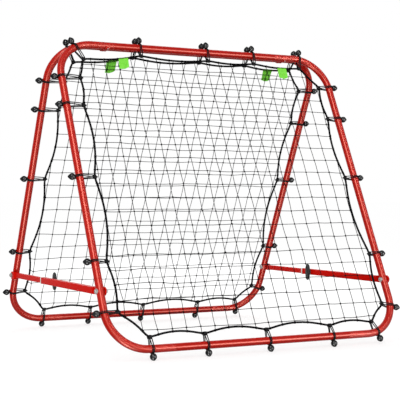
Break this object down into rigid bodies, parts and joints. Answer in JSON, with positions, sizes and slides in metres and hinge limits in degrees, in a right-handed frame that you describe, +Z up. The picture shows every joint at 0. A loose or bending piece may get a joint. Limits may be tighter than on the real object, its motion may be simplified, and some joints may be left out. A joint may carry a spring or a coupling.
{
  "type": "double-sided football rebounder",
  "caption": "Folding A-shaped ball rebounder: two knotted nets tied into hinged round-tube frames, held apart by telescoping side braces with clamping knobs.",
  "frame": {"origin": "on the ground, midway between the two frames, under the hinge line", "axes": "+X along the top tubes and the longest side, +Y from the front frame to the rear frame, +Z up"},
  "size_m": [1.004, 0.8944, 0.9233],
  "materials": {
    "red_powder_coat": "glossy red powder coat",
    "zinc_steel": "bright zinc",
    "black_net": "knotted black polyester string",
    "black_ball_tie": "black elastic cord with a moulded ball",
    "grey_knob": "dark grey moulded plastic",
    "green_tab": "bright green fabric",
    "pale_collar": "off-white plastic"
  },
  "bodies": {
    "front_frame": {"front_left_side_tube": "red_powder_coat", "front_right_side_tube": "red_powder_coat", "front_top_tube": "red_powder_coat", "front_bottom_tube": "red_powder_coat", "front_left_hinge_leaf": "red_powder_coat", "front_right_hinge_leaf": "red_powder_coat", "front_net": "black_net", "front_top_tie_1": "black_ball_tie", "front_top_tie_2": "black_ball_tie", "front_top_tie_3": "black_ball_tie", "front_top_tie_4": "black_ball_tie", "front_top_tie_5": "black_ball_tie", "front_bottom_tie_1": "black_ball_tie", "front_bottom_tie_2": "black_ball_tie", "front_bottom_tie_3": "black_ball_tie", "front_bottom_tie_4": "black_ball_tie", "front_bottom_tie_5": "black_ball_tie", "front_left_tie_1": "black_ball_tie", "front_left_tie_2": "black_ball_tie", "front_left_tie_3": "black_ball_tie", "front_left_tie_4": "black_ball_tie", "front_left_tie_5": "black_ball_tie", "front_right_tie_1": "black_ball_tie", "front_right_tie_2": "black_ball_tie", "front_right_tie_3": "black_ball_tie", "front_right_tie_4": "black_ball_tie", "front_right_tie_5": "black_ball_tie"},
    "rear_frame": {"rear_left_side_tube": "red_powder_coat", "rear_right_side_tube": "red_powder_coat", "rear_top_tube": "red_powder_coat", "rear_bottom_tube": "red_powder_coat", "rear_left_hinge_leaf": "red_powder_coat", "rear_right_hinge_leaf": "red_powder_coat", "rear_net": "black_net", "rear_top_tie_1": "black_ball_tie", "rear_top_tie_2": "black_ball_tie", "rear_top_tie_3": "black_ball_tie", "rear_top_tie_4": "black_ball_tie", "rear_top_tie_5": "black_ball_tie", "rear_bottom_tie_1": "black_ball_tie", "rear_bottom_tie_2": "black_ball_tie", "rear_bottom_tie_3": "black_ball_tie", "rear_bottom_tie_4": "black_ball_tie", "rear_bottom_tie_5": "black_ball_tie", "rear_left_tie_1": "black_ball_tie", "rear_left_tie_2": "black_ball_tie", "rear_left_tie_3": "black_ball_tie", "rear_left_tie_4": "black_ball_tie", "rear_left_tie_5": "black_ball_tie", "rear_right_tie_1": "black_ball_tie", "rear_right_tie_2": "black_ball_tie", "rear_right_tie_3": "black_ball_tie", "rear_right_tie_4": "black_ball_tie", "rear_right_tie_5": "black_ball_tie"},
    "left_outer_bar": {"left_brace_outer_bar": "red_powder_coat"},
    "left_inner_bar": {"left_brace_inner_bar": "red_powder_coat"},
    "left_knob": {"left_brace_knob": "grey_knob"},
    "right_outer_bar": {"right_brace_outer_bar": "red_powder_coat"},
    "right_inner_bar": {"right_brace_inner_bar": "red_powder_coat"},
    "right_knob": {"right_brace_knob": "grey_knob"}
  },
  "joints": [
    {"name": "fold", "type": "hinge", "parent": "front_frame", "child": "rear_frame", "pos_m": [0, 0, 0.88506], "axis": [-1, 0, 0], "range_deg": [-4, 18]},
    {"name": "left_brace_pivot", "type": "hinge", "parent": "front_frame", "child": "left_outer_bar", "pos_m": [-0.469, -0.35486, 0.18202], "axis": [-1, 0, 0], "range_deg": [-2.5, 9.5]},
    {"name": "left_brace_slide", "type": "slide", "parent": "left_outer_bar", "child": "left_inner_bar", "axis": [0, 1, 0], "range_m": [-0.23, 0.055]},
    {"name": "left_knob_turn", "type": "hinge", "parent": "left_outer_bar", "child": "left_knob", "pos_m": [-0.469, 0.04, 0.18202], "axis": [1, 0, 0], "range_deg": [0, 360]},
    {"name": "right_brace_pivot", "type": "hinge", "parent": "front_frame", "child": "right_outer_bar", "pos_m": [0.469, -0.35486, 0.18202], "axis": [-1, 0, 0], "range_deg": [-2.5, 9.5]},
    {"name": "right_brace_slide", "type": "slide", "parent": "right_outer_bar", "child": "right_inner_bar", "axis": [0, 1, 0], "range_m": [-0.23, 0.055]},
    {"name": "right_knob_turn", "type": "hinge", "parent": "right_outer_bar", "child": "right_knob", "pos_m": [0.469, 0.04, 0.18202], "axis": [1, 0, 0], "range_deg": [0, 360]}
  ],
  "couplings": [
    {"joint": "left_brace_pivot", "follows": "fold", "ratio": 0.5},
    {"joint": "left_brace_slide", "follows": "fold", "m_per_rad": -0.722},
    {"joint": "right_brace_pivot", "follows": "fold", "ratio": 0.5},
    {"joint": "right_brace_slide", "follows": "fold", "m_per_rad": -0.722}
  ]
}
